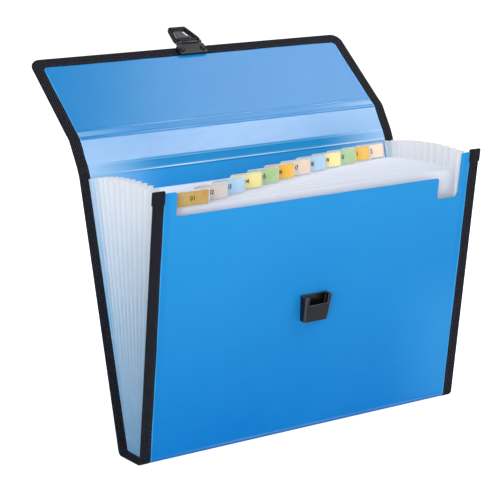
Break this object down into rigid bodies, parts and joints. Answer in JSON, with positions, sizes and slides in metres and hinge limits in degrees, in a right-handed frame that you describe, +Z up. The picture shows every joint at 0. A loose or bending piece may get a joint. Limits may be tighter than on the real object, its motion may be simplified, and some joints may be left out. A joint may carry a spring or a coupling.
{
  "type": "accordion_file_folder",
  "caption": "Expanding accordion file folder of translucent blue plastic with black bound edges, pleated white sides, tabbed dividers and a flap with a latch",
  "frame": {"origin": "middle of the flat underside of bottom_panel", "axes": "+X across the folder to the right as seen from the front, +Y to the back, +Z up"},
  "size_m": [0.33, 0.2346, 0.3391],
  "materials": {
    "cover_sheet": "satin",
    "binding_tape": "matte",
    "gusset_sheet": "satin",
    "divider_sheet": "satin",
    "latch_plastic": "satin",
    "pin_steel": "satin",
    "label_gold": "matte",
    "label_pink": "matte",
    "label_blue": "matte",
    "label_cream": "matte",
    "label_green": "matte",
    "label_peach": "matte"
  },
  "bodies": {
    "base": {"bottom_panel": "cover_sheet", "bottom_binding_left": "binding_tape", "bottom_binding_right": "binding_tape", "gusset_left": "gusset_sheet", "gusset_right": "gusset_sheet"},
    "front_cover": {"front_panel": "cover_sheet", "front_binding_left": "binding_tape", "front_binding_right": "binding_tape", "latch_receiver": "latch_plastic", "receiver_rivets": "latch_plastic"},
    "back_cover": {"back_panel": "cover_sheet", "back_binding_left": "binding_tape", "back_binding_right": "binding_tape"},
    "lower_band": {"lower_crease_band": "cover_sheet", "lower_crease_band_bindings": "binding_tape"},
    "spine": {"spine_strip": "cover_sheet", "spine_strip_bindings": "binding_tape"},
    "upper_band": {"upper_crease_band": "cover_sheet", "upper_crease_band_bindings": "binding_tape"},
    "flap": {"flap_panel": "cover_sheet", "flap_binding": "binding_tape", "latch_base": "latch_plastic", "latch_backing_plate": "latch_plastic", "latch_rivets": "latch_plastic", "latch_hinge_pin": "pin_steel"},
    "tongue": {"latch_tongue": "latch_plastic"},
    "divider_01": {"divider_01": "divider_sheet", "label_01": "label_gold"},
    "divider_02": {"divider_02": "divider_sheet", "label_02": "label_pink"},
    "divider_03": {"divider_03": "divider_sheet", "label_03": "label_blue"},
    "divider_04": {"divider_04": "divider_sheet", "label_04": "label_cream"},
    "divider_05": {"divider_05": "divider_sheet", "label_05": "label_green"},
    "divider_06": {"divider_06": "divider_sheet", "label_06": "label_gold"},
    "divider_07": {"divider_07": "divider_sheet", "label_07": "label_pink"},
    "divider_08": {"divider_08": "divider_sheet", "label_08": "label_blue"},
    "divider_09": {"divider_09": "divider_sheet", "label_09": "label_cream"},
    "divider_10": {"divider_10": "divider_sheet", "label_10": "label_green"},
    "divider_11": {"divider_11": "divider_sheet", "label_11": "label_gold"},
    "divider_12": {"divider_12": "divider_sheet", "label_12": "label_peach"}
  },
  "joints": [
    {"name": "front_swing", "type": "hinge", "parent": "base", "child": "front_cover", "pos_m": [0, -0.018, 0.0035], "axis": [1, 0, 0], "range_deg": [-11.7, 6.3], "deforming": ["gusset_left", "gusset_right"]},
    {"name": "latch_hinge", "type": "hinge", "parent": "flap", "child": "tongue", "pos_m": [-0.0025, 0.15194, 0.32606], "axis": [1, 0, 0], "range_deg": [-75, 20]},
    {"name": "back_swing", "type": "hinge", "parent": "base", "child": "back_cover", "pos_m": [0, 0.018, 0.0035], "axis": [1, 0, 0], "range_deg": [-6.61, 12.1]},
    {"name": "spine_fold", "type": "hinge", "parent": "back_cover", "child": "lower_band", "pos_m": [0, 0.06584, 0.23051], "axis": [1, 0, 0], "range_deg": [-32.83, 60.8]},
    {"name": "spine_crease", "type": "hinge", "parent": "lower_band", "child": "spine", "pos_m": [0, 0.0689, 0.23791], "axis": [1, 0, 0], "range_deg": [-25.51, 47.2]},
    {"name": "upper_band_crease", "type": "hinge", "parent": "spine", "child": "upper_band", "pos_m": [0, 0.08146, 0.2601], "axis": [1, 0, 0], "range_deg": [-31.97, 59.2]},
    {"name": "flap_crease", "type": "hinge", "parent": "upper_band", "child": "flap", "pos_m": [0, 0.08802, 0.26551], "axis": [1, 0, 0], "range_deg": [-26.05, 48.2]},
    {"name": "divider_01_swing", "type": "hinge", "parent": "base", "child": "divider_01", "pos_m": [0, -0.01523, 0.0017], "axis": [1, 0, 0], "range_deg": [-10.08, 5.52]},
    {"name": "divider_02_swing", "type": "hinge", "parent": "base", "child": "divider_02", "pos_m": [0, -0.01246, 0.0017], "axis": [1, 0, 0], "range_deg": [-8.27, 4.54]},
    {"name": "divider_03_swing", "type": "hinge", "parent": "base", "child": "divider_03", "pos_m": [0, -0.00969, 0.0017], "axis": [1, 0, 0], "range_deg": [-6.45, 3.57]},
    {"name": "divider_04_swing", "type": "hinge", "parent": "base", "child": "divider_04", "pos_m": [0, -0.00692, 0.0017], "axis": [1, 0, 0], "range_deg": [-4.64, 2.59]},
    {"name": "divider_05_swing", "type": "hinge", "parent": "base", "child": "divider_05", "pos_m": [0, -0.00415, 0.0017], "axis": [1, 0, 0], "range_deg": [-2.82, 1.61]},
    {"name": "divider_06_swing", "type": "hinge", "parent": "base", "child": "divider_06", "pos_m": [0, -0.00138, 0.0017], "axis": [1, 0, 0], "range_deg": [-1.01, 0.63]},
    {"name": "divider_07_swing", "type": "hinge", "parent": "base", "child": "divider_07", "pos_m": [0, 0.00138, 0.0017], "axis": [1, 0, 0], "range_deg": [-0.74, 1.21]},
    {"name": "divider_08_swing", "type": "hinge", "parent": "base", "child": "divider_08", "pos_m": [0, 0.00415, 0.0017], "axis": [1, 0, 0], "range_deg": [-1.72, 3.02]},
    {"name": "divider_09_swing", "type": "hinge", "parent": "base", "child": "divider_09", "pos_m": [0, 0.00692, 0.0017], "axis": [1, 0, 0], "range_deg": [-2.7, 4.84]},
    {"name": "divider_10_swing", "type": "hinge", "parent": "base", "child": "divider_10", "pos_m": [0, 0.00969, 0.0017], "axis": [1, 0, 0], "range_deg": [-3.68, 6.65]},
    {"name": "divider_11_swing", "type": "hinge", "parent": "base", "child": "divider_11", "pos_m": [0, 0.01246, 0.0017], "axis": [1, 0, 0], "range_deg": [-4.65, 8.47]},
    {"name": "divider_12_swing", "type": "hinge", "parent": "base", "child": "divider_12", "pos_m": [0, 0.01523, 0.0017], "axis": [1, 0, 0], "range_deg": [-5.63, 10.28]}
  ],
  "couplings": [
    {"joint": "back_swing", "follows": "front_swing", "ratio": -1.0171},
    {"joint": "spine_fold", "follows": "front_swing", "ratio": -5.1795},
    {"joint": "spine_crease", "follows": "front_swing", "ratio": -4.0171},
    {"joint": "upper_band_crease", "follows": "front_swing", "ratio": -5.0427},
    {"joint": "flap_crease", "follows": "front_swing", "ratio": -4.1026},
    {"joint": "divider_01_swing", "follows": "front_swing", "ratio": 0.84484},
    {"joint": "divider_02_swing", "follows": "front_swing", "ratio": 0.68968},
    {"joint": "divider_03_swing", "follows": "front_swing", "ratio": 0.53452},
    {"joint": "divider_04_swing", "follows": "front_swing", "ratio": 0.37936},
    {"joint": "divider_05_swing", "follows": "front_swing", "ratio": 0.2242},
    {"joint": "divider_06_swing", "follows": "front_swing", "ratio": 0.069034},
    {"joint": "divider_07_swing", "follows": "front_swing", "ratio": -0.086128},
    {"joint": "divider_08_swing", "follows": "front_swing", "ratio": -0.24129},
    {"joint": "divider_09_swing", "follows": "front_swing", "ratio": -0.39645},
    {"joint": "divider_10_swing", "follows": "front_swing", "ratio": -0.55161},
    {"joint": "divider_11_swing", "follows": "front_swing", "ratio": -0.70677},
    {"joint": "divider_12_swing", "follows": "front_swing", "ratio": -0.86193}
  ]
}
